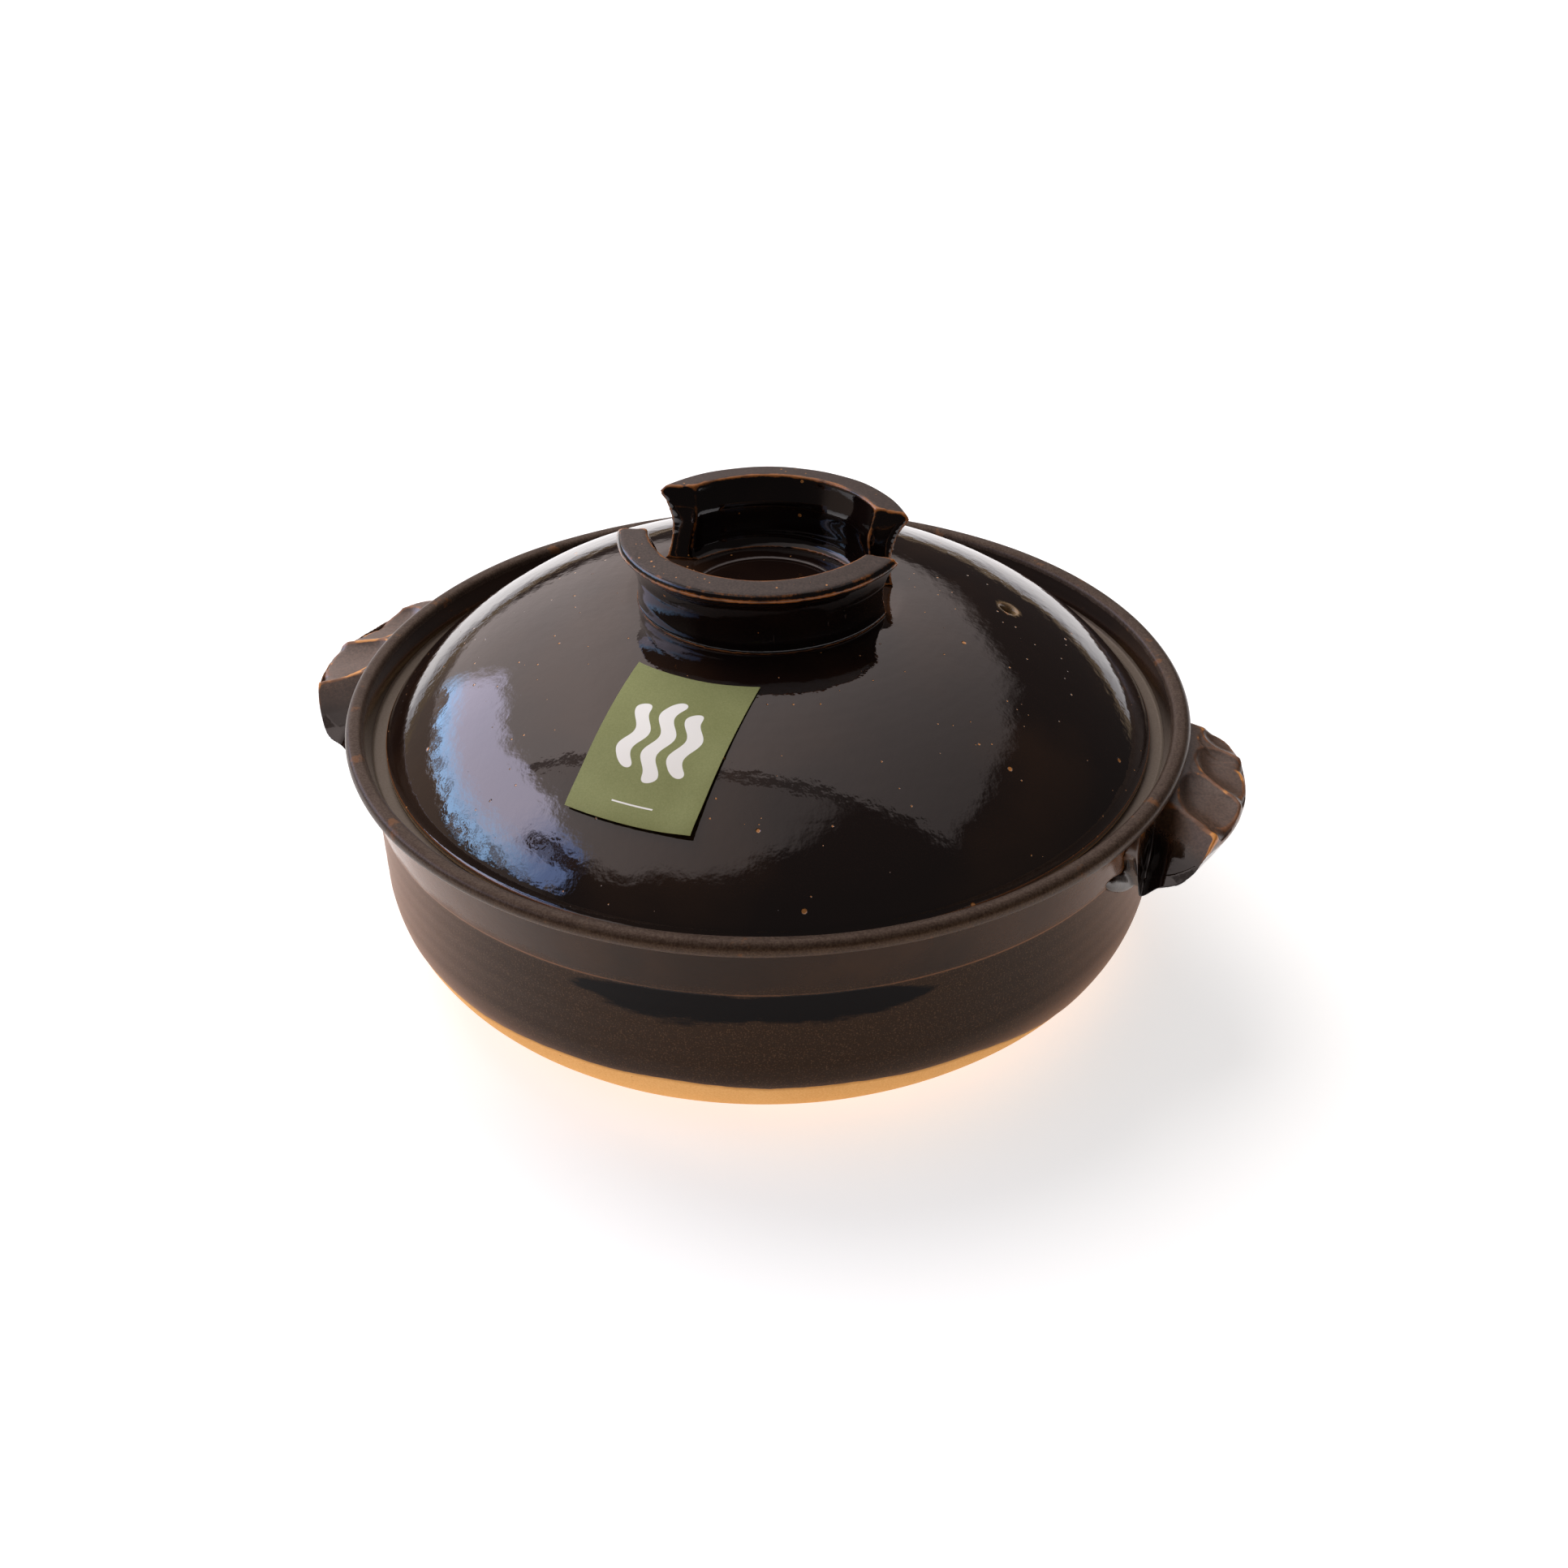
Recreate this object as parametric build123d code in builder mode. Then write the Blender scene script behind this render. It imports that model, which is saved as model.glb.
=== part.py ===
from build123d import *
import math
import os

os.makedirs("parts", exist_ok=True)

# A clay pot for the stove, with a domed lid. Millimetres, +Z up.
# The origin is on the table, under the middle of the bowl. The handles point along X, and the card faces -Y.

# Bowl, outside
ridge_radius = 139.7
ridge_height = 66.3
ridge_step = 0.8
ridge_softness = 3.0
belly_taper = 2.2
bottom_round = 38.0
band_height = 19.1
band_flare = 3.7
lip_bead = 5.8
lip_slope_drop = 0.4
lip_overhang_share = 0.707
lip_round_share = 0.465
lip_inner_round_share = 0.41
band_fillet_share = 0.2

# Bowl, inside
wall = 8.0
floor_thickness = 8.5
gallery_depth = 9.9
gallery_lean = 3.3
gallery_fillet = 1.0
ledge_width = 12.4
ledge_thickness = 6.5
ledge_corner = 1.2
haunch_height = 10.0
haunch_softness = 5.0

# Turned hollow under the base
base_recess_depth = 1.4
base_ring_width = 10.0

# Lid
lid_clearance = 4.3
lid_edge_thickness = 2.4
lid_edge_round = 0.9
lid_foot_round = 0.6
dome_bulge = 10.0
dome_rise = 47.5
lid_wall = 8.0
crown_radius = 47.5
groove_gap = 7.0
groove_width = 1.8
groove_depth = 0.6
steam_hole_radius = 2.9
steam_rim_width = 1.0
steam_hole_below_crown = 36.7
steam_hole_azimuth = 22.1

# Knob, two crescents of one ring
knob_height = 25.7
knob_top_fall = 1.0
knob_top_lean = 4.4
knob_top_width = 9.2
knob_flare = 1.5
knob_bevel_height = 3.2
knob_waist_depth = 0.8
knob_waist_height = 7.5
knob_foot_margin = 3.1
knob_foot_width = 8.2
knob_well_height = 5.5
knob_well_bend = 3.2
knob_well_bend_in_share = 0.25
knob_well_bend_up_share = 0.33
knob_flare_tangent = (-1, -1.1)
knob_foot_tangent = (0.3, -1)
knob_edge_round = 0.6
notch_azimuth = 6.4
notch_left_width = 35.4
notch_left_shift = 7.1
notch_right_width = 33.6
notch_right_shift = 3.4
notch_narrowing = 7.8
notch_corner = 4.0
notch_sink = 1.6

# Handles, shaped by hand, so the left one is a little larger
right_lug_azimuth = 1.2
right_lug_projection = 28.0
right_lug_half_width = 48.0
right_lug_curve_radius = 80.0
left_lug_azimuth = 180.0
left_lug_projection = 37.5
left_lug_half_width = 57.0
left_lug_curve_radius = 72.0
lug_corner = 12.0
lug_below_lip = 7.4
lug_depth = 25.8
lug_bottom_projection = 12.0
lug_bottom_half_width = 31.0
lug_bottom_corner = 12.0
lug_bottom_curve_radius = 48.0
lug_arch_rise = 2.3
lug_droop_angle = 8.0
lug_edge_round = 4.5
lug_under_round = 2.5
lug_root_depth = 32.0
flute_count = 4
flute_spacing = 21.0
flute_radius = 19.0
flute_depth = 2.2
flute_gap = 1.0
pocket_half_width = 21.0
pocket_height = 9.5
pocket_skirt = 6.5
pocket_corner = 6.0

# Paper card and the pad that holds it
card_width = 44.0
card_length = 57.0
card_thickness = 0.5
card_below_crown = 10.0
card_azimuth = -92.5
card_twist = -1.2
pad_width = 30.0
pad_length = 42.0
pad_thickness = 0.4
glue_film = 0.1

# One overrun serves all the cuts
overrun = 2.0


# Sizes that follow from those above: the bowl from the belly up, the lid from the ledge up, the knob from the crown

belly_top_radius = ridge_radius - ridge_step
belly_foot_radius = belly_top_radius - belly_taper
base_recess_radius = belly_foot_radius - bottom_round - base_ring_width
band_top_radius = ridge_radius + band_flare
lip_radius = band_top_radius + lip_overhang_share * lip_bead
lip_inner_radius = lip_radius - lip_bead
lip_underside_height = ridge_height + band_height
lip_crest_height = lip_underside_height + lip_bead
lip_inner_height = lip_crest_height - lip_slope_drop
lip_roundness = lip_round_share * lip_bead
cavity_wall_radius = belly_top_radius - wall
ledge_height = lip_inner_height - gallery_depth
ledge_outer_radius = lip_inner_radius - gallery_lean
ledge_inner_radius = ledge_outer_radius - ledge_width

lid_edge_radius = ledge_outer_radius - lid_clearance
lid_shoulder_height = ledge_height + lid_edge_thickness
crown_height = lid_shoulder_height + dome_rise

knob_foot_radius = crown_radius - knob_foot_margin
knob_well_radius = knob_foot_radius - knob_foot_width
knob_outer_radius = knob_foot_radius + knob_top_lean
knob_inner_radius = knob_outer_radius - knob_top_width
knob_flare_radius = knob_outer_radius + knob_flare
knob_top_height = crown_height + knob_height
groove_radius = knob_well_radius - knob_well_bend - groove_gap

lug_top_height = lip_crest_height - lug_below_lip
lug_bottom_height = lug_top_height - lug_depth
lug_bottom_reach = lip_radius + lug_bottom_projection
lug_root_radius = lip_radius - lug_root_depth

steam_hole_distance = crown_radius + steam_hole_below_crown
card_distance = crown_radius + card_below_crown + card_length / 2

# Dome of the lid: an arc from the crown to the edge, about a centre off the axis
dome_run = lid_edge_radius - crown_radius
dome_fall = crown_height - lid_shoulder_height
dome_chord = math.hypot(dome_run, dome_fall)
dome_arc_radius = dome_chord**2 / (8 * dome_bulge) + dome_bulge / 2
dome_centre_offset = dome_arc_radius - dome_bulge
dome_centre_radius = (crown_radius + lid_edge_radius) / 2 - dome_fall / dome_chord * dome_centre_offset
dome_centre_height = (crown_height + lid_shoulder_height) / 2 - dome_run / dome_chord * dome_centre_offset


def dome_height(radius, depth=0.0):
    """Height of the dome at a radius, on the shell that lies a depth under its outer face."""
    arc = dome_arc_radius - depth
    return dome_centre_height + math.sqrt(arc**2 - (radius - dome_centre_radius) ** 2)


def dome_radius(height, depth=0.0):
    """Radius of the dome at a height, on the shell that lies a depth under its outer face."""
    arc = dome_arc_radius - depth
    return dome_centre_radius + math.sqrt(arc**2 - (height - dome_centre_height) ** 2)


def dome_slope(radius):
    """Fall of the dome at a radius, in degrees from level."""
    return math.degrees(math.asin((radius - dome_centre_radius) / dome_arc_radius))


def dome_plane(distance, azimuth, twist=0.0):
    """Plane that touches the dome, with its Y axis uphill and its Z axis outwards."""
    at_azimuth = Location((0, 0, 0), (0, 0, azimuth))
    on_dome = Location((distance, 0, dome_height(distance)), (0, dome_slope(distance), 0))
    return Plane(at_azimuth * on_dome * Location((0, 0, 0), (0, 0, 90 + twist)))


# Bowl

with BuildPart() as bowl_blank:
    with BuildSketch(Plane.XZ):
        with BuildLine():
            FilletPolyline(
                (0, base_recess_depth),
                (base_recess_radius, base_recess_depth),
                (base_recess_radius + base_recess_depth, 0),
                (belly_foot_radius, 0),
                (belly_top_radius, ridge_height - ridge_step),
                (ridge_radius, ridge_height),
                (band_top_radius, lip_underside_height),
                (lip_radius, lip_underside_height),
                (lip_radius, lip_crest_height),
                (lip_inner_radius, lip_inner_height),
                (0, lip_inner_height),
                radius=[
                    0,
                    0,
                    bottom_round,
                    0,
                    ridge_softness,
                    band_fillet_share * lip_bead,
                    lip_roundness,
                    lip_roundness,
                    0,
                ],
            )
            Line((0, lip_inner_height), (0, base_recess_depth))
        make_face()
    revolve(axis=Axis.Z)

with BuildPart() as pot_bowl:
    add(bowl_blank.part)
    with BuildSketch(Plane.XZ):
        with BuildLine():
            FilletPolyline(
                (0, floor_thickness),
                (belly_foot_radius - wall, floor_thickness),
                (cavity_wall_radius, ledge_height - ledge_thickness - haunch_height),
                (ledge_inner_radius, ledge_height - ledge_thickness),
                (ledge_inner_radius, ledge_height),
                (ledge_outer_radius, ledge_height),
                (lip_inner_radius, lip_inner_height),
                (lip_inner_radius, lip_crest_height + overrun),
                (0, lip_crest_height + overrun),
                radius=[
                    bottom_round - wall,
                    haunch_softness,
                    ledge_corner,
                    ledge_corner,
                    gallery_fillet,
                    0,
                    0,
                ],
            )
            Line((0, lip_crest_height + overrun), (0, floor_thickness))
        make_face()
    revolve(axis=Axis.Z, mode=Mode.SUBTRACT)
    lip_edges = pot_bowl.edges().filter_by(GeomType.CIRCLE).sort_by(Axis.Z)
    crest_edge = lip_edges.filter_by(lambda edge: abs(edge.radius - lip_inner_radius) < lip_slope_drop)[-1]
    fillet(crest_edge, lip_inner_round_share * lip_bead)

pot_bowl.part.label = "pot_bowl"
export_step(pot_bowl.part, "parts/pot_bowl.step")


# Handles


def lug_outline(height, reach, curve_radius, half_width, corner):
    """D-shaped outline of a lug at a height: a circle that ends at its reach, cut to its width."""
    with BuildSketch(Plane.XY.offset(height)) as outline:
        with Locations((reach - curve_radius, 0)):
            Circle(curve_radius)
        with Locations((lug_root_radius + reach, 0)):
            Rectangle(2 * reach, 2 * half_width, mode=Mode.INTERSECT)
        fillet(outline.vertices().group_by(Axis.X)[-1], corner)
    return outline.sketch


lug_face = Plane(
    origin=(ridge_radius, 0, lug_top_height),
    x_dir=(0, 1, 0),
    z_dir=Vector(1, 0, 0).rotate(Axis.Y, lug_droop_angle),
)
flute_mouth = math.sqrt(flute_radius**2 - (flute_radius - flute_depth) ** 2)


def lug(projection, half_width, curve_radius, azimuth):
    """One lug: a wedge with an arched, drooping top, four flutes and a pocket underneath."""
    reach = lip_radius + projection
    arch_radius = (half_width**2 + lug_arch_rise**2) / (2 * lug_arch_rise)
    arch_end = half_width + overrun
    with BuildPart() as lump:
        loft(
            [
                lug_outline(
                    lug_bottom_height,
                    lug_bottom_reach,
                    lug_bottom_curve_radius,
                    lug_bottom_half_width,
                    lug_bottom_corner,
                ),
                lug_outline(lug_top_height + 2 * overrun, reach, curve_radius, half_width, lug_corner),
            ]
        )
        with BuildSketch(lug_face):
            with BuildLine():
                ThreePointArc((-arch_end, -lug_arch_rise), (0, 0), (arch_end, -lug_arch_rise))
                Polyline(
                    (arch_end, -lug_arch_rise),
                    (arch_end, -2 * lug_depth),
                    (-arch_end, -2 * lug_depth),
                    (-arch_end, -lug_arch_rise),
                )
            make_face()
        extrude(amount=reach, both=True, mode=Mode.INTERSECT)
        top_face = lump.faces().filter_by(GeomType.CYLINDER).sort_by(SortBy.AREA)[-1]
        fillet(top_face.edges().sort_by(Axis.X)[1:], lug_edge_round)
        fillet(lump.faces().sort_by(Axis.Z)[0].edges().sort_by(Axis.X)[1:], lug_under_round)
        for index in range(flute_count):
            across = (index - (flute_count - 1) / 2) * flute_spacing
            fall = arch_radius - math.sqrt(arch_radius**2 - across**2)
            with Locations(lug_face * Location((across, flute_radius - flute_depth - fall, 0))):
                with Locations((0, 0, lip_radius + flute_gap + flute_mouth - ridge_radius)):
                    Sphere(flute_radius, mode=Mode.SUBTRACT)
                    Cylinder(
                        flute_radius,
                        2 * lug_root_depth,
                        align=(Align.CENTER, Align.CENTER, Align.MIN),
                        mode=Mode.SUBTRACT,
                    )
        with BuildSketch(Plane.XY.offset(lug_bottom_height)) as pocket_outline:
            Circle(lug_bottom_reach - pocket_skirt)
            with Locations((lug_root_radius + reach, 0)):
                Rectangle(2 * reach, 2 * pocket_half_width, mode=Mode.INTERSECT)
            fillet(pocket_outline.vertices().group_by(Axis.X)[-1], pocket_corner)
        extrude(amount=pocket_height, mode=Mode.SUBTRACT)
        add(bowl_blank.part.rotate(Axis.Z, -azimuth), mode=Mode.SUBTRACT)
    return lump.part.rotate(Axis.Z, azimuth)


with BuildPart() as handle_right:
    add(lug(right_lug_projection, right_lug_half_width, right_lug_curve_radius, right_lug_azimuth))

handle_right.part.label = "handle_right"
export_step(handle_right.part, "parts/handle_right.step")

with BuildPart() as handle_left:
    add(lug(left_lug_projection, left_lug_half_width, left_lug_curve_radius, left_lug_azimuth))

handle_left.part.label = "handle_left"
export_step(handle_left.part, "parts/handle_left.step")


# Lid

lid_foot_radius = dome_radius(ledge_height, lid_wall)
crown_underside = dome_height(crown_radius, lid_wall)

with BuildPart() as lid_dome:
    with BuildSketch(Plane.XZ) as lid_section:
        with BuildLine():
            Line((0, crown_height), (crown_radius, crown_height))
            shoulder_middle = (crown_radius + lid_edge_radius) / 2
            ThreePointArc(
                (crown_radius, crown_height),
                (shoulder_middle, dome_height(shoulder_middle)),
                (lid_edge_radius, lid_shoulder_height),
            )
            Line((lid_edge_radius, lid_shoulder_height), (lid_edge_radius, ledge_height))
            Line((lid_edge_radius, ledge_height), (lid_foot_radius, ledge_height))
            hollow_middle = (crown_radius + lid_foot_radius) / 2
            ThreePointArc(
                (lid_foot_radius, ledge_height),
                (hollow_middle, dome_height(hollow_middle, lid_wall)),
                (crown_radius, crown_underside),
            )
            Line((crown_radius, crown_underside), (0, crown_underside))
            Line((0, crown_underside), (0, crown_height))
        make_face()
        outer_corners = lid_section.vertices().group_by(Axis.X)[-1].sort_by(Axis.Y)
        fillet(outer_corners[-1], lid_edge_round)
        foot_corners = lid_section.vertices().group_by(Axis.Y)[0].sort_by(Axis.X)
        fillet(foot_corners, lid_foot_round)
    revolve(axis=Axis.Z)
    with BuildSketch(Plane.XY.offset(crown_height)):
        Circle(groove_radius)
        Circle(groove_radius - groove_width, mode=Mode.SUBTRACT)
    extrude(amount=-groove_depth, mode=Mode.SUBTRACT)
    with Locations(dome_plane(steam_hole_distance, steam_hole_azimuth)):
        Cylinder(steam_hole_radius, 2 * (lid_wall + overrun), mode=Mode.SUBTRACT)
        Cone(
            steam_hole_radius,
            steam_hole_radius + 2 * steam_rim_width,
            2 * steam_rim_width,
            mode=Mode.SUBTRACT,
        )

lid_dome.part.label = "lid_dome"
export_step(lid_dome.part, "parts/lid_dome.step")


# Knob

bevel_height = knob_top_height - knob_bevel_height
notch_plane = Plane(
    origin=(0, 0, crown_height - notch_sink),
    x_dir=Vector(0, 1, 0).rotate(Axis.Z, notch_azimuth),
    z_dir=Vector(1, 0, 0).rotate(Axis.Z, notch_azimuth),
)
notch_depth = knob_top_height - crown_height + notch_sink
notch_middle = Plane(origin=(0, 0, 0), z_dir=Vector(0, 1, 0).rotate(Axis.Z, notch_azimuth))

with BuildPart() as knob_ring:
    with BuildSketch(Plane.XZ) as ring_section:
        with BuildLine():
            Polyline(
                (knob_inner_radius, knob_top_height),
                (knob_outer_radius, knob_top_height - knob_top_fall),
                (knob_flare_radius, bevel_height),
            )
            Spline(
                (knob_flare_radius, bevel_height),
                (knob_foot_radius - knob_waist_depth, crown_height + knob_waist_height),
                (knob_foot_radius, crown_height),
                tangents=[knob_flare_tangent, knob_foot_tangent],
            )
            Line((knob_foot_radius, crown_height), (knob_well_radius - knob_well_bend, crown_height))
            ThreePointArc(
                (knob_well_radius - knob_well_bend, crown_height),
                (
                    knob_well_radius - knob_well_bend_in_share * knob_well_bend,
                    crown_height + knob_well_bend_up_share * knob_well_height,
                ),
                (knob_well_radius, crown_height + knob_well_height),
            )
            Line((knob_well_radius, crown_height + knob_well_height), (knob_inner_radius, knob_top_height))
        make_face()
        fillet(ring_section.vertices().group_by(Axis.Y)[-1], knob_edge_round)
    revolve(axis=Axis.Z)
    for width, shift, side in (
        (notch_left_width, notch_left_shift, -1),
        (notch_right_width, notch_right_shift, 1),
    ):
        with BuildSketch(notch_plane):
            with BuildLine():
                FilletPolyline(
                    (shift - width / 2 - notch_narrowing, 2 * notch_depth),
                    (shift - width / 2 + notch_narrowing, 0),
                    (shift + width / 2 - notch_narrowing, 0),
                    (shift + width / 2 + notch_narrowing, 2 * notch_depth),
                    radius=notch_corner,
                )
                Line(
                    (shift + width / 2 + notch_narrowing, 2 * notch_depth),
                    (shift - width / 2 - notch_narrowing, 2 * notch_depth),
                )
            make_face()
        extrude(amount=side * (knob_flare_radius + overrun), mode=Mode.SUBTRACT)

with BuildPart() as knob_front:
    add(knob_ring.part)
    split(bisect_by=notch_middle, keep=Keep.BOTTOM)

knob_front.part.label = "knob_front"
export_step(knob_front.part, "parts/knob_front.step")

with BuildPart() as knob_back:
    add(knob_ring.part)
    split(bisect_by=notch_middle, keep=Keep.TOP)

knob_back.part.label = "knob_back"
export_step(knob_back.part, "parts/knob_back.step")


# Card and its pad, bent to the dome

shell_angle = dome_slope(lid_edge_radius)


def bent_sheet(width, length, low, high):
    """Rectangle at the card's place, cut from a shell between two heights over the dome."""
    with BuildPart() as sheet:
        with BuildSketch(Plane.XZ):
            with BuildLine():
                middle = (dome_centre_radius, dome_centre_height)
                lower = CenterArc(middle, dome_arc_radius + low, 90 - shell_angle, shell_angle)
                upper = CenterArc(middle, dome_arc_radius + high, 90 - shell_angle, shell_angle)
                Line(lower @ 0, upper @ 0)
                Line(lower @ 1, upper @ 1)
            make_face()
        revolve(axis=Axis.Z)
        with BuildSketch(dome_plane(card_distance, card_azimuth, card_twist)):
            Rectangle(width, length)
        extrude(amount=length / 2, both=True, mode=Mode.INTERSECT)
    return sheet.part


with BuildPart() as label_tape:
    add(bent_sheet(pad_width, pad_length, 0, pad_thickness))

label_tape.part.label = "label_tape"
export_step(label_tape.part, "parts/label_tape.step")

with BuildPart() as label_card:
    card_seat = pad_thickness + glue_film
    add(bent_sheet(card_width, card_length, card_seat, card_seat + card_thickness))

label_card.part.label = "label_card"
export_step(label_card.part, "parts/label_card.step")
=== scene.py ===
import math
import bpy
import numpy as np
from mathutils import Matrix, Vector


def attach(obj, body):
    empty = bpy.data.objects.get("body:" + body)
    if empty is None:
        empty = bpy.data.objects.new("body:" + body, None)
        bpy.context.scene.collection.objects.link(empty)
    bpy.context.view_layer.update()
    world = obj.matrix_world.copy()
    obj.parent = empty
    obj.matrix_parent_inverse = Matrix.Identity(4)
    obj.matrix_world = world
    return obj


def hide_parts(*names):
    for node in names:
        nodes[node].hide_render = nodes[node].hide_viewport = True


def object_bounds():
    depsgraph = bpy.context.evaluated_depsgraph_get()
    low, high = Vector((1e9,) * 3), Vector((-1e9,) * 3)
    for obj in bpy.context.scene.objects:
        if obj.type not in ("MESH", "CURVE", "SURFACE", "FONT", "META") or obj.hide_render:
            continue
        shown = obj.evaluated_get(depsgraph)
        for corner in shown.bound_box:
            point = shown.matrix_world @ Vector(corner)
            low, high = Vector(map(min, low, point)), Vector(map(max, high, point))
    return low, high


# A stoneware pot for the stove, thrown on the wheel and dressed in a black-brown glaze.
# Metres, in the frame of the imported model. Outlines are written in millimetres and scaled by MM.
MM = 0.001

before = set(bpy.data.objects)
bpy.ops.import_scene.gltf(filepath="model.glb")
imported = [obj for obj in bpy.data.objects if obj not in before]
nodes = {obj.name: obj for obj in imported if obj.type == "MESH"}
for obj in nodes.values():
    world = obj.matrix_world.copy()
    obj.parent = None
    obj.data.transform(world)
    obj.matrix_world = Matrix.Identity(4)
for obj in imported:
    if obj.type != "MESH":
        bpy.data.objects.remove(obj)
cad_low, cad_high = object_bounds()


# Camera at the photograph's viewing angle

VIEW_AZIMUTH = math.radians(20.4)
VIEW_ELEVATION = math.radians(31.62)
VIEW_ROLL = math.radians(-0.89)
VIEW_DISTANCE = 0.77593
VIEW_CENTRE = Vector((0, 0, 0.0764))


def towards(azimuth, elevation):
    """Unit vector from the pot, with azimuth 0 on the side where the card is."""
    return Vector(
        (
            math.sin(azimuth) * math.cos(elevation),
            -math.cos(azimuth) * math.cos(elevation),
            math.sin(elevation),
        )
    )


bpy.ops.object.camera_add()
camera = bpy.context.object
camera.name = "photo_camera"
camera.matrix_world = (
    Matrix.Translation(VIEW_CENTRE + VIEW_DISTANCE * towards(VIEW_AZIMUTH, VIEW_ELEVATION))
    @ Matrix.Rotation(VIEW_AZIMUTH, 4, "Z")
    @ Matrix.Rotation(math.pi / 2 - VIEW_ELEVATION, 4, "X")
    @ Matrix.Rotation(VIEW_ROLL, 4, "Z")
)
camera.data.lens = 50
camera.data.sensor_width = 36
camera.data.shift_x = 0.010445
camera.data.shift_y = -0.03661
camera.data.clip_start = 0.01
bpy.context.scene.camera = camera
bpy.context.scene.view_settings.view_transform = "Standard"


# Shader maths in plain expressions


class Value:
    """A shader socket that takes part in sums."""

    def __init__(self, tree, socket):
        self.tree = tree
        self.socket = socket

    def __add__(self, other):
        return reckon("ADD", self, other)

    def __radd__(self, other):
        return reckon("ADD", other, self)

    def __sub__(self, other):
        return reckon("SUBTRACT", self, other)

    def __rsub__(self, other):
        return reckon("SUBTRACT", other, self)

    def __mul__(self, other):
        return reckon("MULTIPLY", self, other)

    def __rmul__(self, other):
        return reckon("MULTIPLY", other, self)

    def __truediv__(self, other):
        return reckon("DIVIDE", self, other)

    def __neg__(self):
        return reckon("MULTIPLY", self, -1)

    def __abs__(self):
        return reckon("ABSOLUTE", self)


def reckon(operation, *values):
    """One step of arithmetic on sockets and plain numbers."""
    tree = next(value.tree for value in values if isinstance(value, Value))
    step = tree.nodes.new("ShaderNodeMath")
    step.operation = operation
    for slot, value in zip(step.inputs, values):
        feed(tree, slot, value)
    return Value(tree, step.outputs[0])


def feed(tree, slot, value):
    """Links a value to a socket, or sets the socket to a plain number or colour."""
    if isinstance(value, Value):
        tree.links.new(value.socket, slot)
    elif isinstance(value, tuple) and len(value) == 3 and slot.type == "RGBA":
        slot.default_value = (*value, 1)
    else:
        slot.default_value = value


class Nodes:
    """Makes nodes in one tree: type, settings first, then the values of its sockets."""

    def __init__(self, tree):
        self.tree = tree
        self.tree.nodes.clear()

    def node(self, kind, settings=None, output=0, **values):
        node = self.tree.nodes.new("ShaderNode" + kind)
        for key, setting in (settings or {}).items():
            setattr(node, key, setting)
        for key, value in values.items():
            feed(self.tree, node.inputs[key.replace("_", " ")], value)
        return Value(self.tree, node.outputs[output])

    def place(self):
        return self.node("TexCoord", output=3)

    def axes(self, vector=None):
        split = self.node("SeparateXYZ", Vector=vector or self.place()).socket.node
        return [Value(self.tree, split.outputs[index]) for index in range(3)]

    def mark(self, name):
        return self.node("Attribute", {"attribute_name": name}, output=2)

    def noise(self, scale, detail=2.0, roughness=0.5, vector=None):
        vector = vector or self.place()
        return self.node("TexNoise", Vector=vector, Scale=scale, Detail=detail, Roughness=roughness)

    def cells(self, scale, output=0):
        """Distance from the middle of the nearest cell, or that cell's own colour as output 1."""
        return self.node("TexVoronoi", output=output, Vector=self.place(), Scale=scale)

    def ramp(self, value, low, high):
        """0 below low, 1 above high, smooth between them. Low may be the larger."""
        smooth = {"interpolation_type": "SMOOTHSTEP"}
        return self.node("MapRange", smooth, Value=value, From_Min=low, From_Max=high)

    def blend(self, share, first, second):
        """A colour between two others."""
        node = self.tree.nodes.new("ShaderNodeMix")
        node.data_type = "RGBA"
        feed(self.tree, node.inputs[0], share)
        feed(self.tree, node.inputs[6], first)
        feed(self.tree, node.inputs[7], second)
        return Value(self.tree, node.outputs[2])

    def level(self, share, first, second):
        """A number between two others."""
        return share * (second - first) + first

    def relief(self, height, depth, under=None):
        """A fine surface of this depth, in metres, over the one under it."""
        values = {"Height": height, "Distance": depth}
        if under is not None:
            values["Normal"] = under
        return self.node("Bump", Strength=1.0, **values)


class Finish(Nodes):
    """A finish for a surface: one Principled shader and the nodes that feed it."""

    def __init__(self, name, **constants):
        self.material = bpy.data.materials.new(name)
        self.material.use_nodes = True
        super().__init__(self.material.node_tree)
        self.shader = self.tree.nodes.new("ShaderNodeBsdfPrincipled")
        output = self.tree.nodes.new("ShaderNodeOutputMaterial")
        self.tree.links.new(self.shader.outputs[0], output.inputs[0])
        for socket, value in constants.items():
            feed(self.tree, self.shader.inputs[socket.replace("_", " ")], value)

    def wear(self, **links):
        for socket, value in links.items():
            feed(self.tree, self.shader.inputs[socket.replace("_", " ")], value)
        return self.material

    def pool(self, share, **constants):
        """Lays a second, even glaze over the first one, where the share is 1."""
        second = self.tree.nodes.new("ShaderNodeBsdfPrincipled")
        for socket, value in constants.items():
            feed(self.tree, second.inputs[socket.replace("_", " ")], value)
        both = self.tree.nodes.new("ShaderNodeMixShader")
        feed(self.tree, both.inputs[0], share)
        end = self.shader.outputs[0].links[0].to_socket
        self.tree.links.new(self.shader.outputs[0], both.inputs[1])
        self.tree.links.new(second.outputs[0], both.inputs[2])
        self.tree.links.new(both.outputs[0], end)


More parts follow.
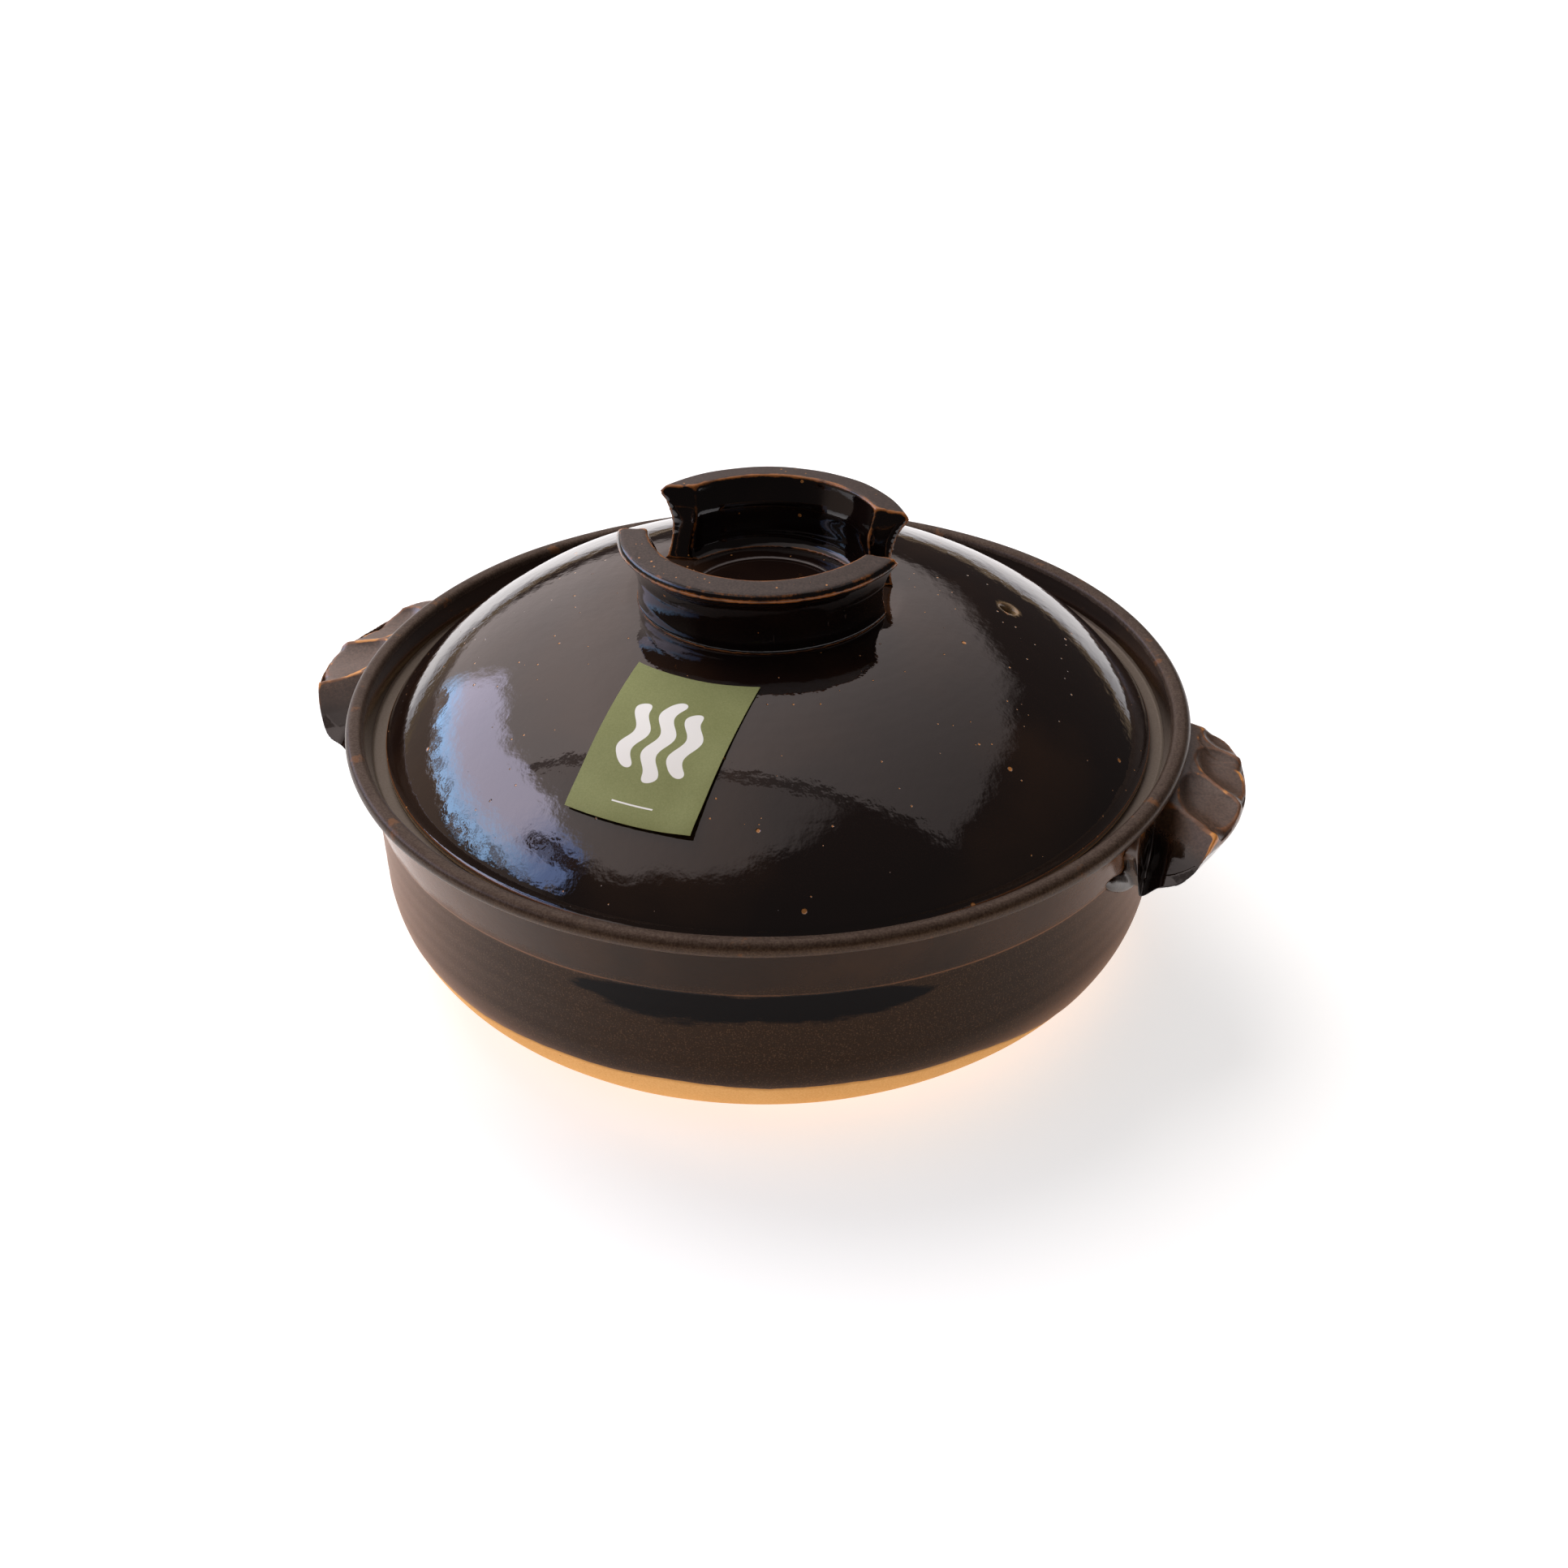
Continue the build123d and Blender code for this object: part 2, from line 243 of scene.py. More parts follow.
# Colours of glaze and clay, and of the painted sheen, shade, reflection and light laid on them. A pair holds
# the darker and the lighter of two that mingle.
BLACK = (0.0085, 0.0042, 0.0032)
BROWN = (0.022, 0.0105, 0.0055)
JET = (0.004, 0.0022, 0.002)
PAINTED_SHADE = (0.012, 0.006, 0.004)
AMBER = (0.30, 0.105, 0.022)
WORN_AMBER = (0.20, 0.075, 0.02)
RUST = (0.50, 0.215, 0.06)
BRIGHT_RUST = (0.72, 0.30, 0.055)
PAINTED_WARM_SHEEN = (0.36, 0.155, 0.058)
WARM_GLINT = (1.0, 0.66, 0.46)
WALL_SATIN = (0.030, 0.015, 0.008)
GLAZE_EDGE = (0.010, 0.0045, 0.0025)
PAINTED_DARK_REFLECTION = (0.0035, 0.0018, 0.0015)
OCHRE = (0.86, 0.61, 0.33)
RAW_CLAY = (0.75, 0.49, 0.23)
BURNT_CLAY = (0.42, 0.26, 0.12)
TOASTED_CLAY = (0.33, 0.155, 0.05)
IRON_GRIT = (0.22, 0.11, 0.045)
DRY_TOP = ((0.020, 0.012, 0.009), (0.052, 0.034, 0.026))
LUG_SATIN = ((0.045, 0.024, 0.014), (0.105, 0.060, 0.040))
BELLY = ((0.017, 0.0095, 0.0062), (0.095, 0.060, 0.041))
BAND = ((0.010, 0.0045, 0.002), (0.030, 0.014, 0.006))
DRY_LIP = ((0.030, 0.019, 0.014), (0.070, 0.050, 0.038))
LEDGE_PAINTED_LIGHT = ((0.075, 0.060, 0.048), (0.135, 0.112, 0.092))
OLIVE_PAPER = ((0.185, 0.205, 0.072), (0.250, 0.272, 0.110))
CARD_INK = (0.86, 0.86, 0.83)
PAD_WEAVE = ((0.62, 0.60, 0.54), (0.74, 0.72, 0.66))

# Heights in metres: the ragged lower edge of the bowl's band, the glossy streak under it, painted near black
# as a dark reflection, with half its own height, and the edge between a lug's top and its underside, which is
# painted dark as shade
BAND_EDGE = (0.0662, 0.0702)
STREAK_HEIGHT, STREAK_HALF = 0.0605, 0.0062
LUG_EDGE = (0.0715, 0.0765)

# Size of the flat card, in millimetres
CARD_WIDTH = 44.0
CARD_LENGTH = 57.0


def pinholes(finish, scale, small, large, share):
    """Specks of bare iron that burst through the glaze: a mask of round spots, each its own size."""
    spot = finish.cells(scale)
    lot = finish.node("SeparateColor", Color=finish.cells(scale, output=1))
    size = finish.ramp(lot, 1 - share, 1) * (large - small) * scale + small * scale
    chosen = finish.ramp(lot, 1 - share, 1 - share + 0.01)
    return finish.ramp(spot, size, size * 0.55) * chosen


def glaze_relief(finish, ripple=1.0, peel=1.0):
    """The glaze's own surface: soft runs a few millimetres across, with a fine peel over them."""
    runs = finish.relief(finish.noise(95, detail=2.0, roughness=0.45), 0.00009 * ripple)
    waves = finish.relief(finish.noise(300, detail=2.5, roughness=0.6), 0.000042 * ripple, runs)
    return finish.relief(finish.noise(1500, detail=1.0), 0.0000025 * peel, waves)


def lid_glaze():
    """Glossy black-brown glaze on the dome, with amber specks."""
    finish = Finish("dome_glaze", IOR=1.58, Specular_IOR_Level=1.0)
    broad = finish.noise(16, detail=3.0)
    tint = finish.blend(finish.ramp(broad, 0.42, 0.68), BLACK, BROWN)
    specks = pinholes(finish, 110, small=0.00035, large=0.0011, share=0.38)
    dust = pinholes(finish, 250, small=0.0002, large=0.00045, share=0.42)
    edge = finish.mark("edge")
    worn = finish.ramp(edge + (finish.noise(420) - 0.5) * 160, 230, 420)
    colour = finish.blend(worn * 0.55, tint, AMBER)
    colour = finish.blend(finish.ramp(specks + dust, 0.1, 0.9), colour, RUST)
    bare = finish.mark("bare")
    grit = finish.noise(900, detail=3.0)
    clay = finish.blend(grit, BURNT_CLAY, OCHRE)
    colour = finish.blend(bare, colour, clay)
    dull = finish.noise(38, detail=4.0, roughness=0.6)
    rough = finish.level(finish.ramp(dull, 0.45, 0.75), 0.03, 0.085)
    rough = finish.level(worn, rough, 0.3)
    rough = finish.level(bare, rough, 0.85)
    dip = finish.relief(-1 * specks - dust, 0.00018, glaze_relief(finish, ripple=1.4))
    return finish.wear(Base_Color=colour, Roughness=rough, Normal=dip)


def knob_glaze():
    """Gloss on the sides, a dry matt top, and amber where the glaze breaks on the edges."""
    finish = Finish("knob_glaze", IOR=1.55, Specular_IOR_Level=0.6)
    edge = finish.mark("edge")
    mottle = finish.noise(300, detail=3.0, roughness=0.6)
    broken = finish.ramp(edge + (mottle - 0.5) * 420, 190, 350)
    top = finish.ramp(finish.mark("top") + (mottle - 0.5) * 0.25, 0.62, 0.8)
    grain = finish.noise(1300, detail=3.0, roughness=0.65)
    dry = finish.blend(finish.ramp(grain, 0.35, 0.7), *DRY_TOP)
    tint = finish.blend(finish.ramp(finish.noise(30), 0.4, 0.7), JET, BLACK)
    colour = finish.blend(top, tint, dry)
    colour = finish.blend(broken * finish.ramp(finish.noise(120), 0.25, 0.55), colour, AMBER)
    specks = pinholes(finish, 150, small=0.0003, large=0.0009, share=0.12)
    specks = specks + pinholes(finish, 420, small=0.00015, large=0.0005, share=0.30) * top
    colour = finish.blend(finish.ramp(specks, 0.1, 0.9), colour, RUST)
    rough = finish.level(top, finish.level(broken, 0.06, 0.24), 0.46)
    skin = finish.relief(grain * top, 0.00003, glaze_relief(finish, ripple=0.6))
    return finish.wear(Base_Color=colour, Roughness=rough, Normal=skin)


def handle_glaze():
    """Satin glaze on the lugs, thin and rust-coloured on their ridges."""
    finish = Finish("handle_glaze", IOR=1.58, Specular_IOR_Level=0.9)
    x, y, z = finish.axes()
    edge = finish.mark("edge")
    mottle = finish.noise(230, detail=4.0, roughness=0.6)
    on_top = finish.ramp(z, *LUG_EDGE)
    thin = finish.ramp(edge + (mottle - 0.5) * 330, 55, 180) * on_top
    bright = finish.ramp(finish.noise(75, detail=2.0), 0.42, 0.62)
    grain = finish.noise(1100, detail=3.0, roughness=0.6)
    tint = finish.blend(finish.ramp(grain, 0.3, 0.7), *LUG_SATIN)
    # Painted shade: the underside below the lug's top is painted near black
    tint = finish.blend(on_top, PAINTED_SHADE, tint)
    colour = finish.blend(thin * (bright * 0.75 + 0.25), tint, AMBER)
    colour = finish.blend(finish.ramp(thin * bright, 0.55, 0.9) * 0.8, colour, BRIGHT_RUST)
    dry = finish.ramp(z + (mottle - 0.5) * 0.004, 0.0725, 0.0770)

    # Glossier on the slanting near end and painted darker there as shade, satin on the wall round the lug
    near_end = finish.ramp(y + (abs(x) - 0.155) * 0.58 + (mottle - 0.5) * 0.006, -0.0230, -0.0275)
    dry = dry * (1 - near_end)
    colour = finish.blend(near_end * 0.5, colour, PAINTED_SHADE)
    reach = reckon("SQRT", x * x + y * y)
    wall = finish.ramp(reach, 0.1450, 0.1432) * finish.ramp(z, 0.0700, 0.0680)
    colour = finish.blend(wall, colour, WALL_SATIN)
    dry = reckon("MAXIMUM", dry, wall * 0.8)
    satin = finish.level(finish.noise(60), 0.26, 0.40)
    rough = finish.level(thin, finish.level(dry, 0.08, satin), 0.38)
    skin = glaze_relief(finish, ripple=0.9, peel=3.0)
    return finish.wear(Base_Color=colour, Roughness=rough, Normal=skin)


def bowl_glaze():
    """One glaze in many states: dry on the lip, runny on the band, satin on the belly, bare at the foot."""
    finish = Finish(
        "bowl_glaze",
        IOR=1.5,
        Specular_IOR_Level=0.25,
        Specular_Tint=WARM_GLINT,
        Coat_IOR=1.55,
        Coat_Roughness=0.2,
    )
    x, y, z = finish.axes()
    outside = finish.mark("outside")
    above_line = finish.mark("rise")
    lip = finish.mark("lip")
    ledge = finish.mark("ledge")
    wide = finish.noise(28, detail=3.0)
    mottle = finish.noise(260, detail=4.0, roughness=0.6)
    grain = finish.noise(1500, detail=2.0, roughness=0.6)

    speckle = finish.ramp(finish.noise(1900, detail=1.5), 0.54, 0.68)
    belly = finish.blend(speckle * 0.6, *BELLY)
    band = finish.blend(finish.ramp(wide, 0.35, 0.7), *BAND)
    runs = finish.node("CombineXYZ", X=x, Y=y, Z=z * 0.35)
    drip = finish.noise(70, detail=3.0, vector=runs)
    on_band = finish.ramp(z + (drip - 0.5) * 0.006, *BAND_EDGE)
    colour = finish.blend(on_band, belly, band)

    # A glossy streak under the band at the front, on the side towards the camera, painted near black as a dark
    # reflection
    middle = finish.mark("front") - abs(z - STREAK_HEIGHT) / STREAK_HALF * 0.6
    trails = finish.node("CombineXYZ", X=x * 0.6, Y=y * 0.6, Z=z * 3.0)
    ragged = finish.noise(60, detail=4.0, roughness=0.65, vector=trails) * 1.1
    streak = finish.ramp(middle + ragged, 0.84, 1.04) * finish.ramp(z, 0.0668, 0.0655)
    within = finish.blend(finish.ramp(wide, 0.4, 0.7), BLACK, BROWN)
    colour = finish.blend(outside, within, colour)

    # Painted warm sheen: the base colour turns warm where the glaze is seen at a slant, standing in for the
    # warm table that the satin glaze reflects
    slant = finish.node("LayerWeight", output=1, Blend=0.42)
    colour = finish.blend(finish.ramp(slant, 0.35, 1.0) * outside * 0.65, colour, PAINTED_WARM_SHEEN)

    dry_lip = finish.blend(finish.ramp(grain + mottle * 0.4, 0.5, 0.95), *DRY_LIP)
    worn = finish.ramp(finish.noise(55, detail=4.0, roughness=0.65) + (mottle - 0.5) * 0.3, 0.60, 0.68)
    dry_lip = finish.blend(worn * 0.45, dry_lip, WORN_AMBER)
    colour = finish.blend(finish.ramp(lip + (mottle - 0.5) * 0.5, 0.4, 0.6), colour, dry_lip)
    # Painted light: the ledge's top is painted paler, as if lit from above, over its drier glaze
    ledge_light = finish.blend(grain, *LEDGE_PAINTED_LIGHT)
    colour = finish.blend(finish.ramp(ledge + (mottle - 0.5) * 0.35, 0.4, 0.7), colour, ledge_light)

    # Millimetres above the wavy line where the glaze ends
    wavy = above_line + (finish.noise(140, detail=3.0) - 0.5) * 1.3
    clay = finish.blend(finish.ramp(grain + wide * 0.6, 0.5, 1.1), RAW_CLAY, OCHRE)
    grit = pinholes(finish, 420, small=0.0001, large=0.0004, share=0.2)
    clay = finish.blend(grit * 0.6, clay, IRON_GRIT)
    glazed = finish.ramp(wavy, -0.12, 0.12)
    toasted = finish.ramp(wavy, -2.2, -0.1) * 0.55
    clay = finish.blend(toasted, clay, TOASTED_CLAY)
    rim = finish.ramp(wavy, 1.1, 0.0)
    colour = finish.blend(rim * 0.8, colour, GLAZE_EDGE)
    colour = finish.blend(glazed, clay, colour)

    rough = finish.level(on_band, finish.level(grain, 0.34, 0.46), finish.level(mottle, 0.12, 0.26))
    rough = finish.level(outside, 0.08, rough)
    rough = finish.level(lip, rough, finish.level(mottle, 0.28, 0.44))
    rough = finish.level(ledge, rough, 0.50)
    rough = finish.level(glazed, 0.88, rough)
    skin = finish.relief(grain, 0.000012, glaze_relief(finish, ripple=0.7))
    skin = finish.relief(finish.ramp(wavy, -0.25, 0.35), 0.00022, skin)
    coat = finish.level(outside, 0.8, on_band * 0.06)
    coat = finish.level(lip, coat, 0.1) * glazed * (1 - ledge * 0.8)
    # The streak's near-black colour and faint reflection are a painted dark reflection
    finish.pool(streak, Base_Color=PAINTED_DARK_REFLECTION, Roughness=0.06, Specular_IOR_Level=0.1)
    return finish.wear(Base_Color=colour, Roughness=rough, Coat_Weight=coat, Normal=skin)


def card_paper():
    """Olive card with fine fibres and three white bands of rising steam."""
    finish = Finish("olive_card", Roughness=0.62)
    across, along = finish.axes(finish.node("UVMap"))[:2]
    across = across * CARD_WIDTH - CARD_WIDTH / 2
    along = along * CARD_LENGTH - CARD_LENGTH / 2
    fibre = finish.noise(1600, detail=4.0, roughness=0.7)
    cloud = finish.noise(60, detail=3.0)
    paper = finish.blend(finish.ramp(fibre + cloud * 0.5, 0.4, 1.1), *OLIVE_PAPER)
    swing = reckon("SINE", along * 0.42) * 1.7
    ink = finish.ramp(abs(along + 22.0), 0.32, 0.22) * finish.ramp(abs(across), 7.1, 7.0)
    for middle, half_length in ((-9.0, 9.5), (0.0, 13.0), (9.0, 9.5)):
        side = abs(across - swing - middle)
        end = reckon("MAXIMUM", abs(along - 2.0) - half_length, 0.0)
        reach = reckon("SQRT", side * side + end * end)
        ink = reckon("MAXIMUM", ink, finish.ramp(reach, 2.75, 2.60))
    colour = finish.blend(ink, paper, CARD_INK)
    skin = finish.relief(fibre, 0.00001)
    return finish.wear(Base_Color=colour, Normal=skin)


def tape_finish():
    """Double-sided pad: off-white, slightly soft, with a fine weave."""
    finish = Finish("adhesive_pad", Roughness=0.55)
    weave = finish.noise(1800, detail=2.0)
    colour = finish.blend(weave, *PAD_WEAVE)
    return finish.wear(Base_Color=colour, Normal=finish.relief(weave, 0.00001))


# Shaping


def deselect():
    """Operators act on all that is selected, so nothing is."""
    bpy.ops.object.select_all(action="DESELECT")


def apply_all(piece):
    for modifier in list(piece.modifiers):
        bpy.ops.object.modifier_apply(modifier=modifier.name)


def turned_outline(corners, step):
    """Closely spaced points along an outline whose corners (radius, height, round) are rounded off."""
    path = []
    for index, corner in enumerate(corners):
        point = np.array(corner[:2], float)
        if index in (0, len(corners) - 1) or corner[2] == 0:
            path.append(point)
            continue
        back = np.array(corners[index - 1][:2]) - point
        ahead = np.array(corners[index + 1][:2]) - point
        back, ahead = back / np.linalg.norm(back), ahead / np.linalg.norm(ahead)
        half = math.acos(np.clip(back @ ahead, -1, 1)) / 2
        run = corner[2] / math.tan(half)
        middle = point + (back + ahead) / np.linalg.norm(back + ahead) * corner[2] / math.sin(half)
        start, end = point + back * run - middle, point + ahead * run - middle
        turn = math.pi - 2 * half
        parts = max(3, round(turn * corner[2] / step), round(turn / 0.22))
        sign = math.copysign(1, start[0] * end[1] - start[1] * end[0])
        for part in range(parts + 1):
            angle = sign * turn * part / parts
            swung = (
                start[0] * math.cos(angle) - start[1] * math.sin(angle),
                start[0] * math.sin(angle) + start[1] * math.cos(angle),
            )
            path.append(middle + np.array(swung))
    dense = [path[0]]
    for first, second in zip(path, path[1:]):
        gap = np.linalg.norm(second - first)
        spacing = step if max(first[1], second[1]) > 4 and first[1] != second[1] else 2.5 * step
        parts = max(1, math.ceil(gap / spacing))
        dense += [first + (second - first) * part / parts for part in range(1, parts + 1)]
    return dense


def throw(name, outline, turns):
    """A wall of clay: its outline is drawn point by point in edit mode, and spun once round the wheel."""
    deselect()
    bpy.ops.mesh.primitive_plane_add(size=1 * MM)
    piece = bpy.context.object
    piece.name = name
    bpy.ops.object.mode_set(mode="EDIT")
    bpy.ops.mesh.select_mode(type="VERT")
    bpy.ops.mesh.merge(type="CENTER")
    bpy.ops.transform.translate(value=(outline[0][0] * MM, 0, outline[0][1] * MM))
    here = outline[0]
    for point in outline[1:]:
        move = (point - here) * MM
        bpy.ops.mesh.extrude_region_move(TRANSFORM_OT_translate={"value": (move[0], 0, move[1])})
        here = point
    bpy.ops.mesh.select_all(action="SELECT")
    bpy.ops.mesh.spin(steps=turns, angle=2 * math.pi, center=(0, 0, 0), axis=(0, 0, 1))
    bpy.ops.mesh.select_all(action="SELECT")
    bpy.ops.mesh.remove_doubles(threshold=0.01 * MM)
    bpy.ops.mesh.normals_make_consistent(inside=False)
    bpy.ops.object.mode_set(mode="OBJECT")
    bpy.ops.object.shade_smooth()
    return piece


def soften(piece, amount, scale):
    """Lets a piece sway a little from its true form, as clay does in the hands and in the kiln."""
    sway = bpy.data.textures.new(piece.name + "_sway", "CLOUDS")
    sway.noise_scale = scale
    sway.noise_depth = 1
    modifier = piece.modifiers.new("sway", "DISPLACE")
    modifier.texture = sway
    modifier.texture_coords = "LOCAL"
    modifier.strength = amount
    modifier.mid_level = 0.5
    apply_all(piece)
    bpy.data.textures.remove(sway)
    # No point sways past the box of the frame
    reshape(piece, np.clip(coordinates(piece), np.array(cad_low), np.array(cad_high)))


def lump_of(name, node):
    """A lump of clay in the shape of a part of the frame, ready to be kneaded."""
    deselect()
    piece = bpy.data.objects.new(name, nodes[node].data.copy())
    bpy.context.scene.collection.objects.link(piece)
    bpy.context.view_layer.objects.active = piece
    piece.select_set(True)
    bpy.ops.object.mode_set(mode="EDIT")
    bpy.ops.mesh.select_all(action="SELECT")
    bpy.ops.mesh.remove_doubles(threshold=0.001 * MM)
    bpy.ops.object.mode_set(mode="OBJECT")
    return piece


def rub(piece, passes):
    """Rubs a piece's skin smooth, as a wet thumb does."""
    smooth = piece.modifiers.new("smooth", "SMOOTH")
    smooth.factor = 0.5
    smooth.iterations = passes
    apply_all(piece)


def knead(piece, grain, passes):
    """Joins a lump's parts into one skin and smooths it."""
    remesh = piece.modifiers.new("skin", "REMESH")
    remesh.mode = "VOXEL"
    remesh.voxel_size = grain
    apply_all(piece)
    rub(piece, passes)
    bpy.ops.object.shade_smooth()


def coordinates(piece):
    """Where the points of a piece are, one row for each."""
    points = np.empty(len(piece.data.vertices) * 3)
    piece.data.vertices.foreach_get("co", points)
    return points.reshape(-1, 3)


def normals(piece):
    directions = np.empty(len(piece.data.vertices) * 3)
    piece.data.vertices.foreach_get("normal", directions)
    return directions.reshape(-1, 3)


def reshape(piece, points):
    piece.data.vertices.foreach_set("co", np.ascontiguousarray(points, float).ravel())
    piece.data.update()


def mark(piece, name, values):
    """Stores a number at each vertex for the finish to read."""
    attribute = piece.data.attributes.new(name, "FLOAT", "POINT")
    attribute.data.foreach_set("value", np.ascontiguousarray(values, np.float32))


def mark_edges(piece, passes=2):
    """Stores how sharply the skin turns outwards, per metre: a glaze runs thin there."""
    points, directions = coordinates(piece), normals(piece)
    ends = np.empty(len(piece.data.edges) * 2, int)
    piece.data.edges.foreach_get("vertices", ends)
    first, second = ends.reshape(-1, 2).T
    step = points[second] - points[first]
    turn = directions[second] - directions[first]
    bend = (turn * step).sum(1) / np.maximum((step**2).sum(1), 1e-14)
    count = len(points)
    near = np.bincount(first, minlength=count) + np.bincount(second, minlength=count)
    total = np.bincount(first, bend, count) + np.bincount(second, bend, count)
    values = total / np.maximum(near, 1)
    for _ in range(passes):
        total = np.bincount(first, values[second], count) + np.bincount(second, values[first], count)
        values = 0.5 * values + 0.5 * total / np.maximum(near, 1)
    mark(piece, "edge", values)


def rise(value, low, high):
    """0 below low, 1 above high, smooth between them."""
    share = np.clip((value - low) / (high - low), 0, 1)
    return share * share * (3 - 2 * share)


def dress(piece, material, slot, body, *stands_for):
    """Gives a piece its finish, the body it rides on and the parts it stands for."""
    piece.data.materials.clear()
    piece.data.materials.append(material)
    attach(piece, body)
    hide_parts(*stands_for)


# Bowl

# Outline of the wall from under the foot, out and up to the lip, and down inside: radius, height, round
BOWL = [
    (0, 1.4, 0),
    (88.7, 1.4, 1.0),
    (90.1, 0, 0.8),
    (136.7, 0, 38.0),
    (138.9, 65.4, 1.6),
    (139.7, 66.4, 2.0),
    (143.4, 85.5, 1.3),
    (147.5, 85.4, 2.7),
    (147.5, 91.2, 2.7),
    (141.7, 90.8, 2.4),
    (138.4, 80.9, 1.0),
    (126.0, 80.9, 1.3),
    (126.0, 74.4, 1.4),
    (130.9, 64.4, 5.0),
    (128.7, 8.5, 30.0),
    (0, 8.5, 0),
]
# Where the glaze ends above the foot, by azimuth: degrees, then height
GLAZE_LINE = [
    (-180, 26.9),
    (-111, 26.9),
    (-87, 26.9),
    (-64, 26.5),
    (-53, 25.8),
    (-40, 23.9),
    (-22, 18.4),
    (0, 15.9),
    (30, 17.9),
    (60, 21.9),
    (110, 25.9),
    (180, 26.9),
]

BOWL_TURNS = 288
OUTLINE_STEP = 1.6
# Where the wall curves in to the foot: middle of the curve, and the least distance of its outer skin from it
FOOT_CURVE = (0.100, 0.038)
FOOT_REACH = 0.034
# Throwing rings: their spacing in metres, and their depth in millimetres
INNER_RINGS, INNER_RING_DEPTH = 0.0105, 0.16
OUTER_RINGS, OUTER_RING_DEPTH = 0.0068, 0.03
# Thickness of the glaze over the bare foot, in millimetres
GLAZE_THICKNESS = 0.28
STREAK_AZIMUTH = -72.5

bowl = throw("thrown_bowl", turned_outline(BOWL, OUTLINE_STEP), BOWL_TURNS)
points = coordinates(bowl)
radius, height = np.hypot(points[:, 0], points[:, 1]), points[:, 2]
azimuth = np.degrees(np.arctan2(points[:, 1], points[:, 0]))

# The inside is the inner wall, the step under the ledge, and the inner slope of the lip
in_wall = radius < 0.1309
in_step = (height > 0.0735) & (radius < 0.132)
in_lip = (height > 0.0809) & (radius < 0.1417)
inside = (radius < 0.1435) & (height > 0.0078) & (in_wall | in_lip | in_step)
from_curve = np.hypot(radius - FOOT_CURVE[0], height - FOOT_CURVE[1])
inside &= ~((radius > FOOT_CURVE[0]) & (height < FOOT_CURVE[1]) & (from_curve > FOOT_REACH))
outer = ~inside

# Rings left by the fingers, and the step down from the glaze to the bare foot
line = (
    np.interp(azimuth, *zip(*GLAZE_LINE))
    + 0.5 * np.sin(np.radians(azimuth * 7))
    + 0.3 * np.sin(np.radians(azimuth * 17 + 40))
)
above = height / MM - line
in_depth = np.where(inside & (height < 0.072), INNER_RING_DEPTH, 0.0)
out_depth = np.where(outer & (height > 0.03) & (height < 0.064), OUTER_RING_DEPTH, 0.0)
rings = in_depth * np.sin(2 * math.pi * (radius + height) / INNER_RINGS)
rings += out_depth * np.sin(2 * math.pi * height / OUTER_RINGS)
sunk = np.where(outer & (height < 0.04), GLAZE_THICKNESS * (1 - rise(above, -0.6, 0.6)), 0.0)
points = points + normals(bowl) * ((rings - sunk) * (height > 0.0002) * MM)[:, None]
reshape(bowl, points)
soften(bowl, amount=0.5 * MM, scale=0.055)

mark(bowl, "outside", outer.astype(float))
mark(bowl, "rise", np.where(outer, above, 20.0))
mark(bowl, "lip", rise(height, 0.0852, 0.0862) * rise(radius, 0.1405, 0.1414))
on_ledge = rise(height, 0.0800, 0.0806) * (1 - rise(height, 0.0818, 0.0828)) * (radius < 0.1392)
mark(bowl, "ledge", on_ledge)
mark(bowl, "front", rise(np.cos(np.radians(azimuth - STREAK_AZIMUTH)), 0.86, 0.98))
dress(bowl, bowl_glaze(), "glaze", "pot", "pot_bowl")


# Lid

LID_TURNS = 368
DOME_RADIUS = 126.95
DOME_CENTRE = (34.56, 4.51)
CROWN_HEIGHT = 130.8
LID_WALL = 8.0


def dome_height(distance, depth=0.0):
    """Height of the dome at a distance from the lid's axis, or that of a skin so deep under it."""
    return DOME_CENTRE[1] + math.sqrt((DOME_RADIUS - depth) ** 2 - (distance - DOME_CENTRE[0]) ** 2)


def lid_outline():
    """The lid from the middle of the crown, over the dome to the edge, and back along the hollow."""
    crown = [(0, 130.85), (8, 130.6), (16, 130.72), (22, 130.8), (24.0, 130.75)]
    groove = [(24.5, 130.35), (25.2, 130.2), (25.9, 130.4), (26.6, 130.78), (28, 130.8)]
    over = [np.array(point) for point in crown + groove]
    over += [np.array((distance, CROWN_HEIGHT)) for distance in np.arange(29.5, 46.5, 1.5)]
    for distance in np.arange(47.5, 133.4, 1.15):
        out = np.array((distance - DOME_CENTRE[0], dome_height(distance) - DOME_CENTRE[1])) / DOME_RADIUS
        fade = rise(distance, 50, 58) * (1 - 0.7 * rise(distance, 80, 125))
        ripple = 0.010 * math.sin(distance * 1.31) + 0.007 * math.sin(distance * 2.05 + 1)
        over.append(np.array((distance, dome_height(distance))) + out * ripple * fade)
    foot = [(133.2, 83.95, 0), (134.1, 83.3, 0.9), (134.1, 80.95, 0.7), (126.1, 80.95, 1.0), (125.5, 81.6, 0)]
    edge = turned_outline(foot, 1.2)
    under = []
    for distance in np.arange(124.6, 47.0, -1.6):
        finger_line = 0.12 * math.sin(distance * 0.62)
        under.append(np.array((distance, dome_height(distance, LID_WALL) + finger_line)))
    under += [np.array((distance, 122.75)) for distance in (44.0, 38.0, 31.0, 24.0, 16.0, 8.0, 0.0)]
    return over + edge + under


lid = throw("domed_lid", lid_outline(), LID_TURNS)

